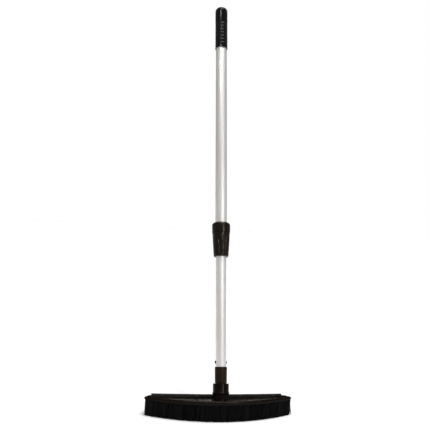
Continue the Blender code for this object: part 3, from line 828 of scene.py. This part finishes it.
def refined(node, name, finish, body, width, sharp=40):
    """Copy a CAD piece, clean its facets and round its edges."""
    bm = bmesh.new()
    bm.from_mesh(frame["nodes"][node].data)
    bmesh.ops.remove_doubles(bm, verts=bm.verts, dist=1e-6)
    bmesh.ops.dissolve_limit(bm, angle_limit=radians(1), verts=bm.verts, edges=bm.edges)
    mesh = mesh_from(bm, name, sharp)
    made = add_object(name, mesh, finish, body)
    if width:
        step = made.modifiers.new("soft_edges", "BEVEL")
        step.width = width
        step.segments = 2
        step.limit_method = "ANGLE"
        step.angle_limit = radians(sharp)
        step.harden_normals = True
    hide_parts(node)


# --- Stage --------------------------------------------------------------------------------------------


FLOOR_HALF_WIDTH = 6.0
FLOOR_DROP = 0.2 * MM
ROUND_LEFT = radians(12.1)  # how far round to the broom's left the camera stands


def pale_floor():
    """A plain pale floor, just under the bristle tips."""
    bm = bmesh.new()
    bmesh.ops.create_grid(bm, x_segments=4, y_segments=4, size=FLOOR_HALF_WIDTH)
    bmesh.ops.translate(bm, verts=bm.verts, vec=(0, 0, -FLOOR_DROP))
    mesh = bpy.data.meshes.new("floor")
    bm.to_mesh(mesh)
    bm.free()
    made, tree, shader = new_material("pale_floor", 0.9, specular=0.1)
    mottle = ramp(tree, noise(tree, 3, 3), (0.90, 0.90, 0.90), (0.92, 0.92, 0.92))
    tree.links.new(mottle, shader.inputs["Base Color"])
    add_object("floor", mesh, made)


def softbox(name, place, aim, width, height, power, spread=180):
    """A rectangular lamp at a place, aimed at a point. A small spread, in degrees, keeps its beam narrow."""
    light = bpy.data.lights.new(name, "AREA")
    light.shape = "RECTANGLE"
    light.size = width
    light.size_y = height
    light.energy = power
    light.spread = radians(spread)
    made = bpy.data.objects.new(name, light)
    bpy.context.scene.collection.objects.link(made)
    made.location = place
    made.rotation_euler = (Vector(aim) - Vector(place)).to_track_quat("-Z", "Y").to_euler()


def surround_strength(tree):
    """The white surround dims towards straight behind the object, and is even everywhere else."""
    direction = tree.nodes.new("ShaderNodeTexCoord")
    behind = tree.nodes.new("ShaderNodeVectorMath")
    behind.operation = "DOT_PRODUCT"
    behind.inputs[1].default_value = (sin(ROUND_LEFT), cos(ROUND_LEFT), 0)
    tree.links.new(direction.outputs["Generated"], behind.inputs[0])
    falloff = tree.nodes.new("ShaderNodeMapRange")
    falloff.interpolation_type = "SMOOTHSTEP"
    falloff.inputs["From Min"].default_value = 0.30
    falloff.inputs["From Max"].default_value = 0.95
    falloff.inputs["To Min"].default_value = 0.40
    falloff.inputs["To Max"].default_value = 0.03
    tree.links.new(behind.outputs["Value"], falloff.inputs["Value"])
    return falloff.outputs["Result"]


def studio():
    """A white surround that looks brighter than it shines, soft overhead light and three softboxes."""
    world = bpy.data.worlds.new("studio")
    bpy.context.scene.world = world
    world.use_nodes = True
    tree = world.node_tree
    tree.nodes.clear()
    output = tree.nodes.new("ShaderNodeOutputWorld")
    mixed = tree.nodes.new("ShaderNodeMixShader")
    path = tree.nodes.new("ShaderNodeLightPath")
    surround = tree.nodes.new("ShaderNodeBackground")
    tree.links.new(surround_strength(tree), surround.inputs["Strength"])
    backdrop = tree.nodes.new("ShaderNodeBackground")
    backdrop.inputs["Strength"].default_value = 1.0
    tree.links.new(path.outputs["Is Camera Ray"], mixed.inputs[0])
    tree.links.new(surround.outputs[0], mixed.inputs[1])
    tree.links.new(backdrop.outputs[0], mixed.inputs[2])
    tree.links.new(mixed.outputs[0], output.inputs["Surface"])
    for background in (surround, backdrop):
        background.inputs["Color"].default_value = (1, 1, 1, 1)
    overhead = bpy.data.lights.new("overhead", "SUN")
    overhead.energy = 2.6
    overhead.angle = radians(34)
    above = bpy.data.objects.new("overhead", overhead)
    above.rotation_euler = (0, radians(8), 0)
    bpy.context.scene.collection.objects.link(above)
    softbox("strip", (0.58, -1.35, 0.94), (0, 0.08, 0.25), width=0.14, height=0.75, power=0.42, spread=40)
    softbox("crown", (-0.46, -0.63, 2.05), (0, 0.28, 0.88), width=0.12, height=0.30, power=0.07, spread=14)
    softbox("left", (-0.80, -0.68, 1.55), (0, 0.2, 0.55), width=0.6, height=0.6, power=0.8)


def camera():
    """The picture's viewpoint: left of the broom's front, half way up, rolled to set the pole upright."""
    pan_left = radians(1.75)
    down = radians(2.145)
    roll = radians(3.555)
    distance = 1196.7 * MM
    height = 448.2 * MM
    data = bpy.data.cameras.new("camera")
    data.sensor_width = 36
    data.lens = 51.2
    data.clip_start = 0.01
    made = bpy.data.objects.new("camera", data)
    bpy.context.scene.collection.objects.link(made)
    made.location = (-sin(ROUND_LEFT) * distance, -cos(ROUND_LEFT) * distance, height)
    aim = Matrix.Rotation(pan_left - ROUND_LEFT, 3, "Z") @ Matrix.Rotation(pi / 2 - down, 3, "X")
    made.rotation_euler = (aim @ Matrix.Rotation(roll, 3, "Z")).to_euler()
    bpy.context.scene.camera = made


def main():
    bpy.context.scene.view_settings.view_transform = "Standard"
    head_shell()
    for number in range(1, 6):
        bristle_tufts(number)
    drawn_tube("lower_tube_drawn", "lower_tube", LOWER_WALL, LOWER)
    drawn_tube("upper_tube_drawn", "upper_tube", UPPER_WALL, UPPER)
    ferrule()
    lock_band()
    twist_nut()
    ribbed_grip()
    refined("squeegee_blade", "wiper_blade", RUBBER, LOWER, 0.3 * MM)
    refined("squeegee_clamp", "clamp_strip", HEAD_PLASTIC, LOWER, 0.25 * MM)
    refined("ferrule_rivet", "cross_rivet", ZINC, LOWER, 0.2 * MM, 50)
    for number in range(1, 5):
        refined(f"clamp_screw_{number}", f"screw_{number}", ZINC, LOWER, 0.15 * MM, 50)
    refined("guide_plug", "guide_bush", INNER_PLASTIC, LOWER, 0.2 * MM)
    refined("clamp_ring", "split_ring", INNER_PLASTIC, "clamp_ring", 0.2 * MM)
    pale_floor()
    studio()
    camera()


main()
